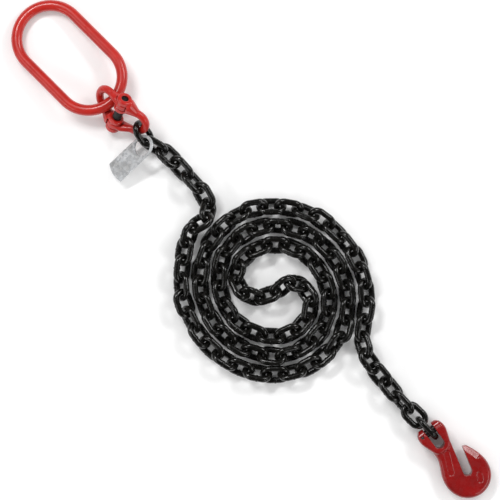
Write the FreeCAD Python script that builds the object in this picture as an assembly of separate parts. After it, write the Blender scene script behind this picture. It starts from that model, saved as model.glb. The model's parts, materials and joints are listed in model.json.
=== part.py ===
import FreeCAD, Part
import math
import os
from FreeCAD import Matrix, Placement, Vector

# A single-leg lifting chain sling laid out flat on the floor: an oblong master link, a two-part
# coupling link with its load pin, an identity tag, a long leg of short-link chain in a two-arm
# coil, and a clevis grab hook. Millimetres, +Z up, the floor at z = 0.

# ---- short-link chain ----
WIRE = 7.0                      # wire diameter
PITCH = 21.0                    # inside length of a link
INSIDE_WIDTH = 10.5
WELD_DIAMETER = 7.8
WELD_LENGTH = 3.0
WELD_TAPER = 0.7                # run-out at each end of the weld swelling
SEAM = 0.05                     # how far the run-out sinks below the wire's surface
LINK_COUNT = 96
LINK_GAP = 0.8                  # slack between two hooked links
ROLL_WANDER = 0.3               # how far the rolls stray from the even pattern, as a share of ROLL
TWIST_LIMIT = 13.0              # how far a link may twist on the one before it
CROWN_RADIUS = (INSIDE_WIDTH + WIRE) / 2
STRAIGHT = PITCH - INSIDE_WIDTH
HALF_SPINE = (PITCH + WIRE) / 2     # link centre to the middle of the wire at its end
ROLL = 45.0                     # links lie alternately rolled this way and that way

FREE_A = 23                     # links free to move at the coupling end
FREE_B = 21                     # and at the hook end
CORE_GROUPS = 6                 # the links wedged inside the coil, grouped along the leg

# ---- coil ----
TAIL_A = [Vector(-97, 112, 0), Vector(-69, 82, 0), Vector(-50, 60, 0), Vector(-46, 40, 0)]
TAIL_B = [Vector(128, -90, 0), Vector(128, -107, 0), Vector(144, -137, 0), Vector(172, -172, 0)]
HOOK_END = Vector(205, -206, 0)     # where the leg reaches the hook
END_LINKS = 4                   # links at the hook that turn flat and on edge by turns
MIDDLE_CALM = 16                # links either side of the middle over which rolls settle
FLOOR_TOLERANCE = 0.05
COIL_CENTRE = Vector(27.5, -46.2, 0)
COIL_RADIUS = 112.8             # arm radius at its starting azimuth
PASS_SPACING = 21.5             # between neighbouring passes
OVALITY = 3.3                   # twice-per-turn swell of every pass
OVALITY_PHASE = 16.0
ARM_A_ZERO = 126.0              # azimuth where arm A would have the full coil radius
ARM_B_ZERO = -54.0
ARM_A_START = 141.0             # azimuth where each tail has turned into the coil
ARM_B_START = -12.0
HEART_RADIUS = 46.5             # the arms meet through an S inside this radius

# ---- coupling link ----
BAR = 9.0                       # crown bar diameter
HALF_REACH = 34.0               # pin axis to the middle of the crown bar
CROWN_MEAN = 14.0               # crown radius at the middle of the bar
LUG_RADIUS = 8.5
LUG_MIDDLE = 17.5
LUG_STATIONS = (8.0, 13.6, 13.9, 21.1, 21.4, 27.6)  # inner fork, tongue and outer fork faces
LUG_CLEARANCE = 0.9             # between a lug's rim and the root of the fork it turns in
LUG_TAPER = 0.8                 # how much slimmer than its lug a leg arrives
TONGUE_SWELL = 1.2              # extra half width of the tongue's leg
FORK_EDGE = 1.6                 # rounding of the lug rims
TONGUE_EDGE = 0.8
COUPLING_PIN = 8.0
COUPLING_BORE = 8.4
BUSH_OUTSIDE = 10.6
BUSH_EDGE = 0.6
END_PLAY = 0.3                  # bush and load pin, each end
PIN_RECESS = 1.2                # load pin below each lug face
COUPLING_CENTRE = Vector(-148.8, 155.3, 27.3)
COUPLING_AZIMUTH = 62.0         # plan direction of the load pin
COUPLING_ROLL = 50.0            # rise of the load pin above the floor
UPPER_DROP = 27.0               # slope of the master-link half down from the pin
LOWER_DROP = 0.0
CHAIN_SLIDE = 38.0              # where the first chain link sits round the lower crown

# ---- master link ----
MASTER_WIRE = 12.7
MASTER_LENGTH = 127.0           # inside
MASTER_WIDTH = 63.5             # inside
MASTER_CENTRE = Vector(-205.6, 218.8, 14.4)
MASTER_AZIMUTH = -45.0
MASTER_PITCH = 6.4
MASTER_ROLL = -1.5

# ---- identity tag ----
TAG_HOLE = 21.0
TAG_RIM = 3.2
TAG_REACH = 48.5                # hole centre to the far end
TAG_THICKNESS = 2.0
TAG_END_RADIUS = 34.0
TAG_EDGE = 0.3                  # chamfer
TAG_CENTRE = Vector(-121.9, 117.4, 21.8)
TAG_AZIMUTH = 222.5             # from the hole towards the plate's far end
TAG_RISE = -18.0
TAG_FACE = Vector(-0.54, 0.19, 0.82)

# ---- clevis grab hook ----
HOOK_THICKNESS = 15.0
CLEVIS_THICKNESS = 19.0
CLEVIS_SLOT = 12.0
CLEVIS_SLOT_END = 22.2
THROAT_RADIUS = 5.2
THROAT_SEAT = Vector(61.5, 6.6, 0)
THROAT_LEAN = 14.5              # lean of the throat slot towards the tip side
CLEVIS_PIN = 9.0
CLEVIS_BORE = 9.4
CLEVIS_PIN_LENGTH = 31.0
RETAINING_PIN = 3.0
HOOK_HEADING = -53.0
HOOK_REACH = 88.0               # pin to the far side of the bowl
HEEL_RADIUS = 7.8               # back of the ears, rounded about the clevis pin
BOWL_EDGE = 5.6                 # rounding of the bowl's edges
CLEVIS_EDGE = 4.0
TIP_LENGTH = 28.0               # throat seat to the end of the tip
RETAINING_OFFSET = -11.5        # cross hole's station along the clevis pin
HOLE_SLACK = 0.1                # radial, round the retaining pin
PIN_GAP = 0.6                   # slack between a bar and the link hanging on it
HOOK_SAG = 0.25                 # how far the clevis pin settles inside the last link
ROLL_PIN_WALL = 0.6
ROLL_PIN_RECESS = 1.0           # each end, below the faces of the ear
PIN_CHAMFER = 0.8
THROUGH = 80.0                  # longer than anything it has to cut through


def deg_dir(azimuth, height=0.0):
    """Unit vector with the given plan azimuth and rise, both in degrees."""
    a = math.radians(azimuth)
    h = math.radians(height)
    return Vector(math.cos(a) * math.cos(h), math.sin(a) * math.cos(h), math.sin(h))


def frame(origin, x_axis, z_hint):
    """Placement whose local X is x_axis and whose local Z is as near z_hint as it can be."""
    x = Vector(x_axis).normalize()
    y = Vector(z_hint).cross(x).normalize()
    z = x.cross(y)
    turn = Matrix(x.x, y.x, z.x, origin.x, x.y, y.y, z.y, origin.y, x.z, y.z, z.z, origin.z, 0, 0, 0, 1)
    return Placement(turn)


# ------------------------------------------------------------------ layout of the chain

def arm_point(azimuth, zero):
    """A point on a coil arm: a uniform two-arm spiral with a slight oval swell."""
    swell = OVALITY * math.sin(math.radians(2 * azimuth + OVALITY_PHASE))
    radius = COIL_RADIUS - PASS_SPACING * (azimuth - zero) / 180 - swell
    return COIL_CENTRE + deg_dir(azimuth) * radius


def heart_points(azimuth):
    """The S through the middle of the coil, from arm A's end at this azimuth to arm B's end."""
    half = (COIL_CENTRE - arm_point(azimuth, ARM_A_ZERO)).Length / 2
    points = []
    for step in range(1, 6):
        points.append(COIL_CENTRE + deg_dir(azimuth) * half + deg_dir(azimuth + 30 * step) * half)
    points.append(Vector(COIL_CENTRE))
    for step in range(1, 6):
        points.append(COIL_CENTRE - deg_dir(azimuth) * half + deg_dir(azimuth - 30 * step) * half)
    return points


def chain_guide(first, last):
    """Plan curve of the whole leg, from the coupling link in to the coil's heart and out to the hook."""
    turned = 180 * (COIL_RADIUS - HEART_RADIUS) / PASS_SPACING
    inner_a = ARM_A_ZERO + turned
    inner_b = ARM_B_ZERO + turned
    points = [first] + TAIL_A
    azimuth = ARM_A_START
    while azimuth < inner_a - 4:
        points.append(arm_point(azimuth, ARM_A_ZERO))
        azimuth += 8
    points.append(arm_point(inner_a, ARM_A_ZERO))
    points.extend(heart_points(inner_a))
    outward = [arm_point(inner_b, ARM_B_ZERO)]
    azimuth = ARM_B_START
    rest = []
    while azimuth < inner_b - 4:
        rest.append(arm_point(azimuth, ARM_B_ZERO))
        azimuth += 8
    points.extend(outward + rest[::-1])
    points.extend(TAIL_B + [HOOK_END, last])
    curve = Part.BSplineCurve()
    curve.interpolate(points)
    return curve.toShape().discretize(Number=6000)


def upright_share(index):
    """0 where links lie at the usual roll, 1 where they lie alternately flat and on edge."""
    from_hook = LINK_COUNT - index
    if from_hook < END_LINKS:
        return 1 - from_hook / END_LINKS
    from_middle = min(1.0, abs(index - LINK_COUNT / 2) / MIDDLE_CALM)
    return ROLL_WANDER * from_middle * math.sin(0.83 * index) * math.sin(0.31 * index + 0.6)


def link_roll(index):
    """Roll of one link about its own length; neighbours differ by a quarter turn."""
    base = ROLL if index % 2 else -ROLL
    return base - ROLL * upright_share(index)


def rest_height(index):
    """Height of a link's middle when its lower side touches the floor."""
    roll = math.radians(link_roll(index))
    return WIRE / 2 + CROWN_RADIUS * max(abs(math.sin(roll)), abs(math.cos(roll)))


def lowest_point(link):
    """Height of the lowest point of a placed link above the floor."""
    along = abs(link.Rotation.multVec(Vector(1, 0, 0)).z)
    across = abs(link.Rotation.multVec(Vector(0, 1, 0)).z)
    return link.Base.z - STRAIGHT / 2 * along - CROWN_RADIUS * math.hypot(along, across) - WIRE / 2


def next_link(parent, guide, reached, index, lift_by):
    """Hang one link on the far crown of the one before it and lead its far end back to the guide."""
    reach = 2 * HALF_SPINE - WIRE - LINK_GAP
    seat = parent.multVec(Vector(HALF_SPINE, 0, 0))
    height = (rest_height(index) + rest_height(min(index + 1, LINK_COUNT))) / 2 + lift_by
    for _ in range(4):
        at = reached
        while at < len(guide) - 1:
            gap = guide[at] - seat
            gap.z = height - seat.z
            if gap.Length >= reach:
                break
            at += 1
        along = Vector(guide[at].x, guide[at].y, height) - seat
        along.normalize()
        local = parent.Rotation.inverted().multVec(along)
        slide = math.atan2(local.y, local.x)
        crown = Vector(STRAIGHT / 2 + CROWN_RADIUS * math.cos(slide), CROWN_RADIUS * math.sin(slide), 0)
        seat = parent.multVec(crown)
    square = parent.Rotation.multVec(Vector(-math.sin(slide), math.cos(slide), 0))
    side = Vector(0, 0, 1).cross(along).normalize()
    lift = along.cross(side)
    roll = math.radians(link_roll(index))
    wanted = lift * math.cos(roll) + side * math.sin(roll)
    if square.dot(wanted) < 0:
        square = square * -1
    twist = math.degrees(math.atan2(square.cross(wanted).dot(along), square.dot(wanted)))
    twist = math.radians(max(-TWIST_LIMIT, min(TWIST_LIMIT, twist)))
    normal = square * math.cos(twist) + along.cross(square) * math.sin(twist)
    centre = seat + along * (HALF_SPINE - WIRE - LINK_GAP)
    return frame(centre, along, normal), at


def link_frames():
    """Placement of every chain link, coupling end first."""
    ring = coupling_frames()["lower"]
    slide = math.radians(CHAIN_SLIDE)
    outward = Vector(math.cos(slide), -math.sin(slide), 0)
    seat = ring.multVec(Vector(HALF_REACH - CROWN_MEAN, 0, 0) + outward * CROWN_MEAN)
    leave = ring.Rotation.multVec(outward)
    bar_run = ring.Rotation.multVec(Vector(math.sin(slide), math.cos(slide), 0))
    centre = seat + leave * (HALF_SPINE - (BAR + WIRE) / 2 - PIN_GAP)
    frames = [frame(centre, leave, bar_run)]
    start = frames[0].multVec(Vector(HALF_SPINE, 0, 0))
    guide = chain_guide(Vector(start.x, start.y, 0), HOOK_END + deg_dir(HOOK_HEADING) * 60)
    reached = 0
    for index in range(2, LINK_COUNT + 1):
        lift_by = 0.0
        for _ in range(5):
            link, station = next_link(frames[-1], guide, reached, index, lift_by)
            sunk = -lowest_point(link)
            if sunk < FLOOR_TOLERANCE:
                break
            lift_by += 1.5 * sunk
        reached = station
        frames.append(link)
    return frames


def coupling_frames():
    """Placements of the two coupling halves (X towards the crown, Y along the pin) and of the pin."""
    pin = deg_dir(COUPLING_AZIMUTH, COUPLING_ROLL)
    level = deg_dir(COUPLING_AZIMUTH - 90)
    face = level.cross(pin)
    lower = math.radians(LOWER_DROP)
    upper = math.radians(UPPER_DROP)
    lower_x = level * math.cos(lower) - face * math.sin(lower)
    upper_x = level * -math.cos(upper) - face * math.sin(upper)
    return {
        "lower": frame(COUPLING_CENTRE, lower_x, lower_x.cross(pin)),
        "upper": frame(COUPLING_CENTRE, upper_x, upper_x.cross(pin * -1)),
        "pin": frame(COUPLING_CENTRE, pin, face),
    }


def master_frame():
    """Placement of the master link: X along its length, Z its face."""
    along = deg_dir(MASTER_AZIMUTH, MASTER_PITCH)
    side = deg_dir(MASTER_AZIMUTH + 90)
    face = along.cross(side)
    roll = math.radians(MASTER_ROLL)
    return frame(MASTER_CENTRE, along, face * math.cos(roll) - side * math.sin(roll))


# ------------------------------------------------------------------ solids

def stadium_ring(straight, radius, wire):
    """A ring of round wire: two half circles joined by two straight sides, long in X."""
    half = straight / 2
    solid = None
    for sign in (1, -1):
        bend = Part.makeTorus(radius, wire / 2, Vector(0, 0, 0), Vector(0, 0, 1), 0, 360, 180)
        bend.rotate(Vector(0, 0, 0), Vector(0, 0, 1), -90 * sign)
        bend.translate(Vector(half * sign, 0, 0))
        side = Part.makeCylinder(wire / 2, straight, Vector(-half, radius * sign, 0), Vector(1, 0, 0))
        solid = bend.fuse(side) if solid is None else solid.fuse([bend, side])
    return solid


def chain_link():
    """One welded link with the slight swelling of the weld on one side."""
    ring = stadium_ring(STRAIGHT, CROWN_RADIUS, WIRE)
    flank = WELD_LENGTH / 2 - WELD_TAPER
    middle = Part.makeCylinder(WELD_DIAMETER / 2, 2 * flank, Vector(-flank, -CROWN_RADIUS, 0), Vector(1, 0, 0))
    parts = [middle]
    for sign in (1, -1):
        start = Vector(flank * sign, -CROWN_RADIUS, 0)
        parts.append(Part.makeCone(WELD_DIAMETER / 2, WIRE / 2 - SEAM, WELD_TAPER, start, Vector(sign, 0, 0)))
    return ring.fuse(parts)


def rounded_drum(radius, start, end, edge):
    """A drum along Y between two stations with both rims rounded."""
    drum = Part.makeCylinder(radius, end - start, Vector(0, start, 0), Vector(0, 1, 0))
    rims = [e for e in drum.Edges if isinstance(e.Curve, Part.Circle)]
    return drum.makeFillet(edge, rims)


def oval_loft(x_near, y_near, size_near, x_far, y_far, size_far):
    """A tapering bar along X between two oval sections; a size is (half width in Y, half height in Z)."""
    wires = []
    for x, y, size in ((x_near, y_near, size_near), (x_far, y_far, size_far)):
        wide = max(size)
        slim = min(size)
        oval = Part.Ellipse(Vector(0, 0, 0), wide, slim) if wide - slim > 0.01 else Part.Circle(
            Vector(0, 0, 0), Vector(0, 0, 1), wide)
        wire = Part.Wire([oval.toShape()])
        if size[0] >= size[1]:
            turn = Matrix(0, 0, 1, x, 1, 0, 0, y, 0, 1, 0, 0, 0, 0, 0, 1)
        else:
            turn = Matrix(0, 0, 1, x, 0, -1, 0, y, 1, 0, 0, 0, 0, 0, 0, 1)
        wire.Placement = Placement(turn)
        wires.append(wire)
    return Part.makeLoft(wires, True, True)


def coupling_half():
    """One forged half: a crown bar, a forked lug on +Y and a single tongue lug on -Y."""
    inner, fork_in, tongue_in, tongue_out, fork_out, outer = LUG_STATIONS
    centre = HALF_REACH - CROWN_MEAN
    bend = Part.makeTorus(CROWN_MEAN, BAR / 2, Vector(0, 0, 0), Vector(0, 0, 1), 0, 360, 180)
    bend.rotate(Vector(0, 0, 0), Vector(0, 0, 1), -90)
    bend.translate(Vector(centre, 0, 0))
    root = LUG_RADIUS + LUG_CLEARANCE
    fork_size = ((outer - inner) / 2, LUG_RADIUS - LUG_TAPER)
    tongue_size = ((tongue_out - tongue_in) / 2 + TONGUE_SWELL, LUG_RADIUS - LUG_TAPER)
    fork_leg = oval_loft(centre, CROWN_MEAN, (BAR / 2, BAR / 2), root, (outer + inner) / 2, fork_size)
    fork_root = oval_loft(root, (outer + inner) / 2, fork_size, 0, (outer + inner) / 2, fork_size)
    fork = rounded_drum(LUG_RADIUS, inner, outer, FORK_EDGE)
    tongue_leg = oval_loft(centre, -CROWN_MEAN, (BAR / 2, BAR / 2), root, -LUG_MIDDLE, tongue_size)
    tongue_root = oval_loft(root, -LUG_MIDDLE, tongue_size, 0, -LUG_MIDDLE, tongue_size)
    slab = Part.makeBox(THROUGH, tongue_out - tongue_in, THROUGH, Vector(-THROUGH / 2, -tongue_out, -THROUGH / 2))
    tongue_root = tongue_root.common(slab)
    tongue = rounded_drum(LUG_RADIUS, -tongue_out, -tongue_in, TONGUE_EDGE)
    solid = bend.fuse([fork_leg, fork_root, fork, tongue_leg, tongue_root, tongue])
    slot = Part.makeCylinder(root, fork_out - fork_in, Vector(0, fork_in, 0), Vector(0, 1, 0))
    slot_open = Part.makeBox(THROUGH, fork_out - fork_in, 2 * root, Vector(-THROUGH, fork_in, -root))
    bore = Part.makeCylinder(COUPLING_BORE / 2, THROUGH, Vector(0, -THROUGH / 2, 0), Vector(0, 1, 0))
    return solid.cut(slot.fuse(slot_open)).cut(bore)


def chamfered_pin(diameter, length, chamfer):
    """A plain pin along X, centred, with chamfered ends."""
    pin = Part.makeCylinder(diameter / 2, length, Vector(-length / 2, 0, 0), Vector(1, 0, 0))
    rims = [e for e in pin.Edges if isinstance(e.Curve, Part.Circle)]
    return pin.makeChamfer(chamfer, rims)


def bush():
    """The sleeve round the middle of the coupling's load pin, along X."""
    length = 2 * (LUG_STATIONS[0] - END_PLAY)
    sleeve = Part.makeCylinder(BUSH_OUTSIDE / 2, length, Vector(-length / 2, 0, 0), Vector(1, 0, 0))
    rims = [e for e in sleeve.Edges if isinstance(e.Curve, Part.Circle)]
    sleeve = sleeve.makeChamfer(BUSH_EDGE, rims)
    return sleeve.cut(Part.makeCylinder(COUPLING_BORE / 2, length, Vector(-length / 2, 0, 0), Vector(1, 0, 0)))


def tag_plate():
    """Identity tag: a round eye with a large hole running into a plate with a bowed end."""
    half = TAG_HOLE / 2 + TAG_RIM
    eye = Part.makeCylinder(half, TAG_THICKNESS, Vector(0, 0, -TAG_THICKNESS / 2))
    plate = Part.makeBox(TAG_REACH, 2 * half, TAG_THICKNESS, Vector(0, -half, -TAG_THICKNESS / 2))
    bow = Part.makeCylinder(TAG_END_RADIUS, TAG_THICKNESS, Vector(TAG_REACH - TAG_END_RADIUS, 0, -TAG_THICKNESS / 2))
    body = eye.fuse(plate.common(bow)).removeSplitter()
    hole = Part.makeCylinder(TAG_HOLE / 2, TAG_THICKNESS, Vector(0, 0, -TAG_THICKNESS / 2))
    body = body.cut(hole)
    rims = [e for e in body.Edges if abs(e.Vertexes[0].Z - e.Vertexes[-1].Z) < 1e-6]
    return body.makeChamfer(TAG_EDGE, rims)


def closed_outline(points):
    """A smooth closed face through the given points."""
    curve = Part.BSplineCurve()
    curve.interpolate(Points=points, PeriodicFlag=True)
    return Part.Face(Part.Wire([curve.toShape()]))


def rounded_slab(points, thickness, edge):
    """An outline given thickness, with its long edges rounded."""
    slab = closed_outline(points).extrude(Vector(0, 0, thickness))
    slab.translate(Vector(0, 0, -thickness / 2))
    rims = [e for e in slab.Edges if abs(e.BoundBox.ZLength) < 1e-6]
    return slab.makeFillet(edge, rims)


def hook_body():
    """The forging: clevis ears, shank, bowl and tip, lying flat with the clevis pin along Y at the origin."""
    bowl = [Vector(x, y, 0) for x, y in (
        (10, 10.0), (30, 19.5), (48, 28.0), (66, 31.2), (84, 24.0), (92.4, 6.0), (85, -14), (67, -22.8),
        (48, -19.8), (30, -12.4), (10, -10.0), (4, 0))]
    ear = ((-9.0, 8.4), (-4.6, 14.4), (4.0, 17.0), (12.0, 15.0), (20.0, 12.2), (27.0, 8.0))
    clevis = [Vector(x, y, 0) for x, y in ear] + [Vector(28.5, 0, 0)]
    clevis += [Vector(x, -y, 0) for x, y in reversed(ear)] + [Vector(-9.6, 0, 0)]
    mouth = Part.makeBox(THROUGH, THROUGH, THROUGH, Vector(-THROUGH - TIP_LENGTH, -THROAT_RADIUS, -THROUGH / 2))
    throat = open_slot(THROAT_RADIUS).fuse(mouth)
    throat.rotate(Vector(0, 0, 0), Vector(0, 0, 1), -THROAT_LEAN)
    throat.translate(THROAT_SEAT)
    flat = rounded_slab(bowl, HOOK_THICKNESS, BOWL_EDGE).cut(throat)
    behind = Part.makeBox(THROUGH, THROUGH, THROUGH, Vector(-THROUGH, -THROUGH / 2, -THROUGH / 2))
    heel = Part.makeCylinder(HEEL_RADIUS, THROUGH, Vector(0, -THROUGH / 2, 0), Vector(0, 1, 0))
    ears = rounded_slab(clevis, CLEVIS_THICKNESS, CLEVIS_EDGE).cut(behind.cut(heel))
    solid = flat.fuse(ears)
    gap = open_slot(CLEVIS_SLOT / 2)
    gap.translate(Vector(CLEVIS_SLOT_END - CLEVIS_SLOT / 2, 0, 0))
    bore = Part.makeCylinder(CLEVIS_BORE / 2, THROUGH, Vector(0, -THROUGH / 2, 0), Vector(0, 1, 0))
    return solid.cut(gap).cut(bore).cut(cross_hole())


def open_slot(radius):
    """A slot cutter through the hook: round bottom at the origin, open towards -X."""
    low = Vector(0, 0, -THROUGH / 2)
    channel = Part.makeBox(THROUGH, 2 * radius, THROUGH, Vector(-THROUGH, -radius, -THROUGH / 2))
    return channel.fuse(Part.makeCylinder(radius, THROUGH, low))


def cross_hole():
    """The cutter for the retaining pin's hole, upright through one ear and the clevis pin."""
    return Part.makeCylinder(RETAINING_PIN / 2 + HOLE_SLACK, THROUGH, Vector(0, RETAINING_OFFSET, -THROUGH / 2))


def clevis_pin():
    """The hook's load pin along Y with the cross hole of its retaining pin."""
    pin = chamfered_pin(CLEVIS_PIN, CLEVIS_PIN_LENGTH, PIN_CHAMFER)
    pin.rotate(Vector(0, 0, 0), Vector(0, 0, 1), 90)
    return pin.cut(cross_hole())


def retaining_pin():
    """A slotted roll pin, upright through one ear."""
    length = CLEVIS_THICKNESS - 2 * ROLL_PIN_RECESS
    wall = ROLL_PIN_WALL
    base = Vector(0, RETAINING_OFFSET, -length / 2)
    pin = Part.makeCylinder(RETAINING_PIN / 2, length, base, Vector(0, 0, 1))
    core = Part.makeCylinder(RETAINING_PIN / 2 - wall, length, base, Vector(0, 0, 1))
    slit = Part.makeBox(RETAINING_PIN, wall, length, base + Vector(0, -wall / 2, 0))
    return pin.cut(core).cut(slit)


def hook_frame(frames):
    """Placement of the hook: pin through the last link's end, bowl resting on the floor."""
    last = frames[-1]
    seat = last.multVec(Vector(HALF_SPINE - (CLEVIS_PIN + WIRE) / 2 - PIN_GAP, 0, 0))
    seat.z -= HOOK_SAG
    dip = math.degrees(math.asin((seat.z - HOOK_THICKNESS / 2) / HOOK_REACH))
    along = deg_dir(HOOK_HEADING, -dip)
    return frame(seat, along, Vector(0, 0, 1))


def placed(shape, placement):
    """A copy of a shape moved to its placement."""
    copy = shape.copy()
    copy.Placement = placement.multiply(shape.Placement)
    return copy


def chain_nodes():
    """Node names with the links each holds: free links alone, the links wedged in the coil by pass."""
    nodes = []
    for index in list(range(1, FREE_A + 1)) + list(range(LINK_COUNT - FREE_B + 1, LINK_COUNT + 1)):
        nodes.append((f"chain_link_{index:02d}", [index]))
    inner = list(range(FREE_A + 1, LINK_COUNT - FREE_B + 1))
    for group in range(CORE_GROUPS):
        first = group * len(inner) // CORE_GROUPS
        last = (group + 1) * len(inner) // CORE_GROUPS
        nodes.append((f"chain_coil_core_{group + 1}", inner[first:last]))
    return nodes


def layout():
    """Every frame the sling needs, before it is moved to stand on the origin."""
    frames = link_frames()
    return {
        "links": frames,
        "coupling": coupling_frames(),
        "master": master_frame(),
        "tag": frame(TAG_CENTRE, deg_dir(TAG_AZIMUTH, TAG_RISE), TAG_FACE),
        "hook": hook_frame(frames),
    }


def solids(plan):
    """Every node's shape in the layout's frame."""
    link = chain_link()
    half = coupling_half()
    load_pin = chamfered_pin(COUPLING_PIN, 2 * (LUG_STATIONS[-1] - PIN_RECESS - END_PLAY), PIN_CHAMFER)
    master = stadium_ring(MASTER_LENGTH - MASTER_WIDTH, (MASTER_WIDTH + MASTER_WIRE) / 2, MASTER_WIRE)
    shapes = {
        "master_link": placed(master, plan["master"]),
        "coupling_upper_half": placed(half, plan["coupling"]["upper"]),
        "coupling_lower_half": placed(half, plan["coupling"]["lower"]),
        "coupling_load_pin": placed(load_pin, plan["coupling"]["pin"]),
        "coupling_bush": placed(bush(), plan["coupling"]["pin"]),
        "id_tag": placed(tag_plate(), plan["tag"]),
        "hook_body": placed(hook_body(), plan["hook"]),
        "clevis_pin": placed(clevis_pin(), plan["hook"]),
        "retaining_pin": placed(retaining_pin(), plan["hook"]),
    }
    for name, indices in chain_nodes():
        links = [placed(link, plan["links"][index - 1]) for index in indices]
        shapes[name] = links[0] if len(links) == 1 else Part.makeCompound(links)
    return shapes


def standing_shift(shapes):
    """The move that puts the middle of the sling's underside on the origin."""
    box = Part.makeCompound(list(shapes.values())).optimalBoundingBox(False, False)
    return Vector(-(box.XMin + box.XMax) / 2, -(box.YMin + box.YMax) / 2, -box.ZMin)


if __name__ == "__main__":
    os.makedirs("parts", exist_ok=True)
    shapes = solids(layout())
    move = standing_shift(shapes)
    for name, shape in shapes.items():
        shape.translate(move)
        shape.exportStep(f"parts/{name}.step")
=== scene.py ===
import json
import math

import bpy
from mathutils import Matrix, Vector


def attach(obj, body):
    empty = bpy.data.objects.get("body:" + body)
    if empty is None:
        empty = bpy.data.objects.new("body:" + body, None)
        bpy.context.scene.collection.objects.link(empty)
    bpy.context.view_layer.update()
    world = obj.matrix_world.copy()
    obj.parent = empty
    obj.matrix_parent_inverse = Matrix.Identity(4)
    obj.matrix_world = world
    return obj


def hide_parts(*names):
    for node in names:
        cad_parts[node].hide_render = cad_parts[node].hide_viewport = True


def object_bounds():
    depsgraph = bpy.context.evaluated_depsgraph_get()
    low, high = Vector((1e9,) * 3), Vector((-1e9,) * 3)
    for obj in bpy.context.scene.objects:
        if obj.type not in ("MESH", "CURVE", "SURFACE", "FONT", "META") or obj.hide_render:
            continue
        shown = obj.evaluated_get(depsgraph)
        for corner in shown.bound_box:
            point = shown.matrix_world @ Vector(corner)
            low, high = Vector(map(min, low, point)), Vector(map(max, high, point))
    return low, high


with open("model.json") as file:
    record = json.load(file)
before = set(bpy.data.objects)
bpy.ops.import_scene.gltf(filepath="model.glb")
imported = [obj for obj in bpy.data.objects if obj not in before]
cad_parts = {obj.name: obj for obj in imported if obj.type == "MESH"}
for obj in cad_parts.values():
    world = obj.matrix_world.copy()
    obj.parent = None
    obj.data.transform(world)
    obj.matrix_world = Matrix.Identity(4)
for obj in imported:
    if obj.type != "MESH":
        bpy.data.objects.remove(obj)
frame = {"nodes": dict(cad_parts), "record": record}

# Looks for the chain sling. Lengths are metres in the CAD's frame: the sling lies on the floor at z = 0.

MM = 0.001
CAD_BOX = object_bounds()
RECORD = frame["record"]

# ---- camera and room ----
FIELD = 0.572                       # floor width the camera takes in
CAMERA_HEIGHT = 3.2
CAMERA_SHIFT = (-0.0014, -0.0012)   # off the middle of the sling
VIEW_DEPTH = 20
FLOOR_REACH = 6.0
FLOOR_GAP = 0.2 * MM                # the floor lies this far under the sling
ROOM_LIGHT = 0.58
ROOM_REFLECTION = 0.03
SOFTBOXES = {                       # place, size, power in watts
    "key": ((-0.8, 1.1, 1.7), (0.8, 0.2), 18),
    "fill": ((0.95, 0.8, 1.1), (0.7, 0.25), 8),
    "right_strip": ((1.2, -0.8, 0.9), (1.3, 0.2), 5),
    "left_strip": ((-1.3, -0.5, 1.0), (1.3, 0.2), 5),
}

# ---- forgings ----
FORGED = {                          # CAD node and the piece that stands in for it
    "hook_body": "hook_forging",
    "coupling_upper_half": "coupling_upper_forging",
    "coupling_lower_half": "coupling_lower_forging",
}
FORGE_VOXEL = 0.55 * MM             # grain of the remeshed forgings
FORGE_SMOOTHING = 9
SMOOTHING_FACTOR = 0.5

# ---- the hook's pressed and ground details, in millimetres in the hook's own frame ----
HOOK_HALF = 7.5                     # half the bowl's thickness
SHANK_PANEL = ((30.0, 0.0), (52.0, -9.5), 3.4, 0.8)    # ends of its middle line, half width, depth
BOWL_SADDLE = ((72.5, 15.5), (78.5, 12.5), 3.2, 0.8)
PANEL_BEVEL = 0.8
FACE_DEPTH = 1.5                    # how far below the faces a press still reaches
FACET_TILT = 25.0                   # ground facet along the outside of the tip
FACET_FROM = (35.0, 21.6)           # its outer edge
FACET_TO = (56.0, 28.2)
FACET_WIDTH = 5.4
FACET_RUN_IN = 4.0                  # it starts this far before the first point, off the tip's end
FACET_RUN_OUT = 1.5

# ---- zinc crystals on the tag ----
SPANGLE_MM = 3.2
SPANGLE_DRIFT_SCALE = 180.0
SPANGLE_DRIFT = 4.0 * MM

WHITE = (1.0, 1.0, 1.0, 1.0)
NOISE_ROUGHNESS = 0.55
CREVICE_SAMPLES = 6


# ------------------------------------------------------------------ helpers

def joint(name):
    """Position and axis of one of the record's joints."""
    found = [j for j in RECORD["behaviour"]["joints"] if j["name"] == name][0]
    return Vector(found["pos_m"]), Vector(found["axis"]).normalized()


def mount(name):
    """Position and axis of one of the record's mounts."""
    found = [m for m in RECORD["mounts"] if m["name"] == name][0]
    return Vector(found["pos_m"]), Vector(found["axis"]).normalized()


def body_of_node(node):
    """The behaviour body that a CAD node belongs to."""
    for body, nodes in RECORD["behaviour"]["bodies"].items():
        if node in nodes:
            return body
    return "root"


def hook_axes():
    """The hook's frame: origin on the clevis pin, X down the shank, Y to the tip, Z its upper face."""
    pin, across = joint("hook_swing")
    seat, face = mount("grab_slot")
    if face.z < 0:
        face = -face
    along = across.cross(face).normalized()
    if along.dot(seat - pin) < 0:
        along = -along
    return pin, along, face.cross(along).normalized(), face


# ------------------------------------------------------------------ materials

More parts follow.
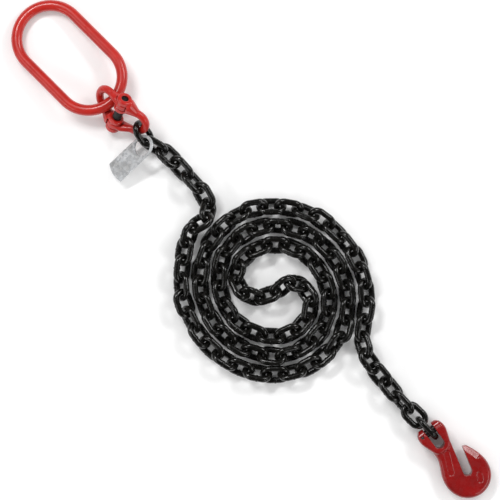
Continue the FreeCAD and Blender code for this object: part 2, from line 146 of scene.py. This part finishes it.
class Nodes:
    """A small helper for writing one procedural material."""

    def __init__(self, name):
        self.material = bpy.data.materials.new(name)
        self.material.use_nodes = True
        self.tree = self.material.node_tree
        self.surface = self.tree.nodes["Principled BSDF"]
        self.place = self.tree.nodes.new("ShaderNodeTexCoord").outputs["Object"]

    def add(self, kind, **settings):
        node = self.tree.nodes.new(kind)
        for key, value in settings.items():
            setattr(node, key, value)
        return node

    def join(self, output, target):
        self.tree.links.new(output, target)

    def noise(self, cell_mm, detail=3.0):
        """Fractal noise with cells of about this size."""
        node = self.add("ShaderNodeTexNoise")
        node.inputs["Scale"].default_value = 1 / (cell_mm * MM)
        node.inputs["Detail"].default_value = detail
        node.inputs["Roughness"].default_value = NOISE_ROUGHNESS
        self.join(self.place, node.inputs["Vector"])
        return node.outputs["Fac"]

    def ramp(self, value, low, high, start=0.3, end=0.7):
        """Maps a 0 to 1 value between two numbers or two colours."""
        node = self.add("ShaderNodeValToRGB")
        stops = node.color_ramp.elements
        stops[0].position = start
        stops[1].position = end
        stops[0].color = low if isinstance(low, tuple) else (low, low, low, 1.0)
        stops[1].color = high if isinstance(high, tuple) else (high, high, high, 1.0)
        self.join(value, node.inputs["Fac"])
        return node.outputs["Color"]

    def mix(self, share, first, second, blend="MIX"):
        """Mixes two colours; a share, first or second may be a socket or a plain value."""
        node = self.add("ShaderNodeMix", data_type="RGBA", blend_type=blend)
        share_in, first_in, second_in = node.inputs[0], node.inputs[6], node.inputs[7]
        for target, value in ((share_in, share), (first_in, first), (second_in, second)):
            if isinstance(value, bpy.types.NodeSocket):
                self.join(value, target)
            else:
                target.default_value = value
        return node.outputs[2]

    def bump(self, layers):
        """Stacks bump layers given as (height socket, depth in mm)."""
        normal = None
        for height, depth_mm in layers:
            node = self.add("ShaderNodeBump")
            node.inputs["Strength"].default_value = 1.0
            node.inputs["Distance"].default_value = depth_mm * MM
            self.join(height, node.inputs["Height"])
            if normal is not None:
                self.join(normal, node.inputs["Normal"])
            normal = node.outputs["Normal"]
        self.join(normal, self.surface.inputs["Normal"])

    def crevice(self, reach_mm):
        """0 in tight corners, 1 on open surfaces."""
        node = self.add("ShaderNodeAmbientOcclusion", samples=CREVICE_SAMPLES)
        node.inputs["Distance"].default_value = reach_mm * MM
        return node.outputs["AO"]

    def edges(self):
        """How convex the surface is, about 0.5 where flat."""
        return self.add("ShaderNodeNewGeometry").outputs["Pointiness"]


def enamel(name, colour, deep, bright, gloss):
    """Brushed-on or dipped paint over a forged surface, thin on edges, with painted shade darkening the
    corners.
    """
    m = Nodes(name)
    patches = m.ramp(m.noise(14.0), deep, colour, 0.30, 0.70)
    worn = m.ramp(m.edges(), 0.0, 1.0, 0.52, 0.60)
    broken = m.ramp(m.noise(2.2, 5.0), 0.0, 1.0, 0.45, 0.62)
    wear = m.mix(1.0, worn, broken, "MULTIPLY")
    worn_paint = m.mix(wear, patches, bright)
    # painted shade: ambient occlusion darkens the base colour in corners and recesses
    shade = m.ramp(m.crevice(5.0), (0.25, 0.2, 0.2, 1.0), WHITE, 0.2, 0.85)
    m.join(m.mix(1.0, worn_paint, shade, "MULTIPLY"), m.surface.inputs["Base Color"])
    m.join(m.ramp(m.noise(5.0, 4.0), gloss, gloss + 0.16), m.surface.inputs["Roughness"])
    m.surface.inputs["Coat Weight"].default_value = 0.35
    m.surface.inputs["Coat Roughness"].default_value = 0.12
    m.bump([(m.noise(7.0, 2.0), 0.16), (m.noise(1.3, 3.0), 0.04)])
    return m.material


def black_lacquer():
    """Glossy black dip on the chain, with fine drawn texture and a duller bloom in places."""
    m = Nodes("chain_black")
    tone = m.ramp(m.noise(9.0), (0.0028, 0.0026, 0.0022, 1.0), (0.006, 0.0055, 0.0045, 1.0))
    worn = m.ramp(m.edges(), 0.0, 1.0, 0.53, 0.62)
    flecks = m.ramp(m.noise(1.6, 5.0), 0.0, 1.0, 0.58, 0.72)
    wear = m.mix(1.0, worn, flecks, "MULTIPLY")
    m.join(m.mix(wear, tone, (0.03, 0.027, 0.024, 1.0)), m.surface.inputs["Base Color"])
    m.join(m.ramp(m.noise(4.0, 4.0), 0.16, 0.32), m.surface.inputs["Roughness"])
    m.surface.inputs["Specular IOR Level"].default_value = 0.5
    m.surface.inputs["Coat Weight"].default_value = 0.15
    m.surface.inputs["Coat Roughness"].default_value = 0.16
    m.bump([(m.noise(6.0, 2.0), 0.05), (m.noise(0.9, 2.0), 0.006)])
    return m.material


def black_oxide():
    """Satin blackened steel of the load pins."""
    m = Nodes("pin_black")
    m.join(m.ramp(m.noise(5.0), (0.01, 0.01, 0.011, 1.0), (0.03, 0.028, 0.026, 1.0)),
           m.surface.inputs["Base Color"])
    m.surface.inputs["Metallic"].default_value = 0.6
    m.join(m.ramp(m.noise(2.0, 4.0), 0.3, 0.5), m.surface.inputs["Roughness"])
    m.bump([(m.noise(0.9, 3.0), 0.02)])
    return m.material


def spangled_zinc():
    """Hot-dip zinc sheet: grey crystals of slightly different tone, some dulled by handling."""
    m = Nodes("tag_zinc")
    cells = m.add("ShaderNodeTexVoronoi", feature="F1")
    cells.inputs["Scale"].default_value = 1 / (SPANGLE_MM * MM)
    warp = m.add("ShaderNodeVectorMath", operation="ADD")
    drift = m.add("ShaderNodeTexNoise")
    drift.inputs["Scale"].default_value = SPANGLE_DRIFT_SCALE
    shrink = m.add("ShaderNodeVectorMath", operation="SCALE")
    shrink.inputs["Scale"].default_value = SPANGLE_DRIFT
    m.join(m.place, drift.inputs["Vector"])
    m.join(drift.outputs["Color"], shrink.inputs[0])
    m.join(m.place, warp.inputs[0])
    m.join(shrink.outputs["Vector"], warp.inputs[1])
    m.join(warp.outputs["Vector"], cells.inputs["Vector"])
    grey = m.add("ShaderNodeSeparateColor")
    m.join(cells.outputs["Color"], grey.inputs["Color"])
    tone = m.ramp(grey.outputs["Red"], (0.50, 0.52, 0.54, 1.0), (0.80, 0.82, 0.84, 1.0), 0.0, 1.0)
    dull = m.ramp(m.noise(11.0, 4.0), (0.72, 0.71, 0.69, 1.0), WHITE, 0.35, 0.6)
    m.join(m.mix(1.0, tone, dull, "MULTIPLY"), m.surface.inputs["Base Color"])
    m.surface.inputs["Metallic"].default_value = 0.45
    m.join(m.ramp(grey.outputs["Green"], 0.34, 0.52, 0.0, 1.0), m.surface.inputs["Roughness"])
    m.bump([(m.noise(6.0, 2.0), 0.1), (m.noise(0.7, 3.0), 0.02)])
    return m.material


def spring_steel():
    """Plain drawn steel of the roll pin, lightly tarnished."""
    m = Nodes("roll_pin_steel")
    m.join(m.ramp(m.noise(1.5, 4.0), (0.16, 0.15, 0.14, 1.0), (0.38, 0.37, 0.35, 1.0)),
           m.surface.inputs["Base Color"])
    m.surface.inputs["Metallic"].default_value = 0.95
    m.join(m.ramp(m.noise(0.8, 3.0), 0.25, 0.45), m.surface.inputs["Roughness"])
    m.bump([(m.noise(0.5, 2.0), 0.01)])
    return m.material


def floor_paper():
    """Plain white studio paper."""
    m = Nodes("floor_paper")
    m.join(m.ramp(m.noise(60.0), (0.93, 0.93, 0.93, 1.0), (0.95, 0.95, 0.95, 1.0)),
           m.surface.inputs["Base Color"])
    m.surface.inputs["Roughness"].default_value = 0.9
    m.surface.inputs["Specular IOR Level"].default_value = 0.1
    return m.material


def finishes():
    """One material per slot of the record."""
    return {
        "master_paint": enamel("master_paint", (0.50, 0.013, 0.006, 1.0), (0.42, 0.010, 0.005, 1.0),
                               (0.78, 0.06, 0.035, 1.0), 0.26),
        "coupling_paint": enamel("coupling_paint", (0.52, 0.011, 0.006, 1.0), (0.40, 0.008, 0.004, 1.0),
                                 (0.74, 0.06, 0.035, 1.0), 0.28),
        "hook_paint": enamel("hook_paint", (0.29, 0.005, 0.005, 1.0), (0.22, 0.0035, 0.0035, 1.0),
                             (0.42, 0.02, 0.018, 1.0), 0.2),
        "chain_black": black_lacquer(),
        "pin_black": black_oxide(),
        "tag_zinc": spangled_zinc(),
        "roll_pin_steel": spring_steel(),
    }


# ------------------------------------------------------------------ pieces

def forged(node, name):
    """A copy of a machined CAD node with the soft edges and blended corners of a forging."""
    source = frame["nodes"][node]
    piece = bpy.data.objects.new(name, source.data.copy())
    bpy.context.scene.collection.objects.link(piece)
    remesh = piece.modifiers.new("remesh", "REMESH")
    remesh.mode = "VOXEL"
    remesh.voxel_size = FORGE_VOXEL
    smooth = piece.modifiers.new("smooth", "SMOOTH")
    smooth.factor = SMOOTHING_FACTOR
    smooth.iterations = FORGE_SMOOTHING
    depsgraph = bpy.context.evaluated_depsgraph_get()
    mesh = bpy.data.meshes.new_from_object(piece.evaluated_get(depsgraph))
    piece.modifiers.clear()
    piece.data = mesh
    mesh.polygons.foreach_set("use_smooth", [True] * len(mesh.polygons))
    return piece


def distance_to_line(x, y, start, end):
    """Distance of a point from a straight piece of line, all in one plane."""
    run = (end[0] - start[0], end[1] - start[1])
    share = ((x - start[0]) * run[0] + (y - start[1]) * run[1]) / (run[0] ** 2 + run[1] ** 2)
    share = min(1.0, max(0.0, share))
    return math.hypot(x - start[0] - share * run[0], y - start[1] - share * run[1])


def sink_panel(piece, panel):
    """Presses a shallow rounded panel into both faces of the hook."""
    start, end, half_width, depth = panel
    pin, along, across, face = hook_axes()
    for vertex in piece.data.vertices:
        local = (vertex.co - pin) / MM
        x, y, z = local.dot(along), local.dot(across), local.dot(face)
        if abs(z) < HOOK_HALF - FACE_DEPTH:
            continue
        outside = distance_to_line(x, y, start, end) - half_width
        share = min(1.0, max(0.0, 0.5 - outside / PANEL_BEVEL))
        vertex.co -= face * math.copysign(depth * MM * share, z)


def grind_tip(piece):
    """Flattens the outer edges of the hook's tip, above and below, to a slanting facet."""
    pin, along, across, face = hook_axes()
    run = Vector((FACET_TO[0] - FACET_FROM[0], FACET_TO[1] - FACET_FROM[1])).normalized()
    outward = across * run.x - along * run.y
    edge = pin + (along * FACET_FROM[0] + across * FACET_FROM[1]) * MM
    tilt = math.radians(FACET_TILT)
    length = math.dist(FACET_FROM, FACET_TO) * MM
    for side in (face, -face):
        normal = side * math.cos(tilt) + outward * math.sin(tilt)
        start = edge - outward * FACET_WIDTH * MM + side * HOOK_HALF * MM
        for vertex in piece.data.vertices:
            station = (vertex.co - edge).dot(along * run.x + across * run.y)
            over = (vertex.co - start).dot(normal)
            inset = -(vertex.co - edge).dot(outward)
            if over > 0 and station > -FACET_RUN_IN * MM and inset < 2 * FACET_WIDTH * MM:
                share = min(1.0, max(0.0, (length - station) / (FACET_RUN_OUT * MM)))
                vertex.co -= normal * over * share


def paint(thing, material):
    """Gives an object one material."""
    thing.data.materials.clear()
    thing.data.materials.append(material)


def dress(looks):
    """Materials on every node, and forged pieces in place of the three machined forgings."""
    for part in RECORD["subparts"]:
        node = part["node"]
        slot = part["material_slot"]
        paint(frame["nodes"][node], looks[slot])
        if node in FORGED:
            piece = forged(node, FORGED[node])
            if node == "hook_body":
                sink_panel(piece, SHANK_PANEL)
                sink_panel(piece, BOWL_SADDLE)
                grind_tip(piece)
            paint(piece, looks[slot])
            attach(piece, body_of_node(node))
            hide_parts(node)


# ------------------------------------------------------------------ studio

def softbox(name, place, size, power):
    """A rectangular area light aimed at the middle of the sling."""
    light = bpy.data.lights.new(name, "AREA")
    light.shape = "RECTANGLE"
    light.size = size[0]
    light.size_y = size[1]
    light.energy = power
    lamp = bpy.data.objects.new(name, light)
    bpy.context.scene.collection.objects.link(lamp)
    lamp.location = place
    lamp.rotation_euler = (-lamp.location).to_track_quat("-Z", "Y").to_euler()


def room():
    """An even white room for the light that soaks in, but a dark one in glossy reflections."""
    world = bpy.data.worlds.new("studio")
    world.use_nodes = True
    tree = world.node_tree
    background = tree.nodes["Background"]
    background.inputs["Color"].default_value = WHITE
    rays = tree.nodes.new("ShaderNodeLightPath")
    share = tree.nodes.new("ShaderNodeMapRange")
    share.inputs["To Min"].default_value = ROOM_LIGHT
    share.inputs["To Max"].default_value = ROOM_REFLECTION
    tree.links.new(rays.outputs["Is Glossy Ray"], share.inputs["Value"])
    tree.links.new(share.outputs["Result"], background.inputs["Strength"])
    return world


def floor():
    """A wide sheet of white paper under the sling."""
    mesh = bpy.data.meshes.new("floor")
    corners = [(x * FLOOR_REACH, y * FLOOR_REACH, 0) for x, y in ((-1, -1), (1, -1), (1, 1), (-1, 1))]
    mesh.from_pydata(corners, [], [(0, 1, 2, 3)])
    mesh.materials.append(floor_paper())
    sheet = bpy.data.objects.new("floor", mesh)
    sheet.location.z = -FLOOR_GAP
    bpy.context.scene.collection.objects.link(sheet)


def camera():
    """A distant camera looking straight down on the middle of the sling."""
    data = bpy.data.cameras.new("camera")
    data.angle = 2 * math.atan(FIELD / 2 / CAMERA_HEIGHT)
    data.clip_end = VIEW_DEPTH
    viewer = bpy.data.objects.new("camera", data)
    low, high = CAD_BOX
    viewer.location.x = (low[0] + high[0]) / 2 + CAMERA_SHIFT[0]
    viewer.location.y = (low[1] + high[1]) / 2 + CAMERA_SHIFT[1]
    viewer.location.z = CAMERA_HEIGHT
    bpy.context.scene.collection.objects.link(viewer)
    bpy.context.scene.camera = viewer


def studio():
    """Plain white floor, soft light from above and a camera looking straight down."""
    floor()
    bpy.context.scene.world = room()
    for name, (place, size, power) in SOFTBOXES.items():
        softbox(name, place, size, power)
    camera()
    bpy.context.scene.view_settings.view_transform = "Standard"


dress(finishes())
studio()
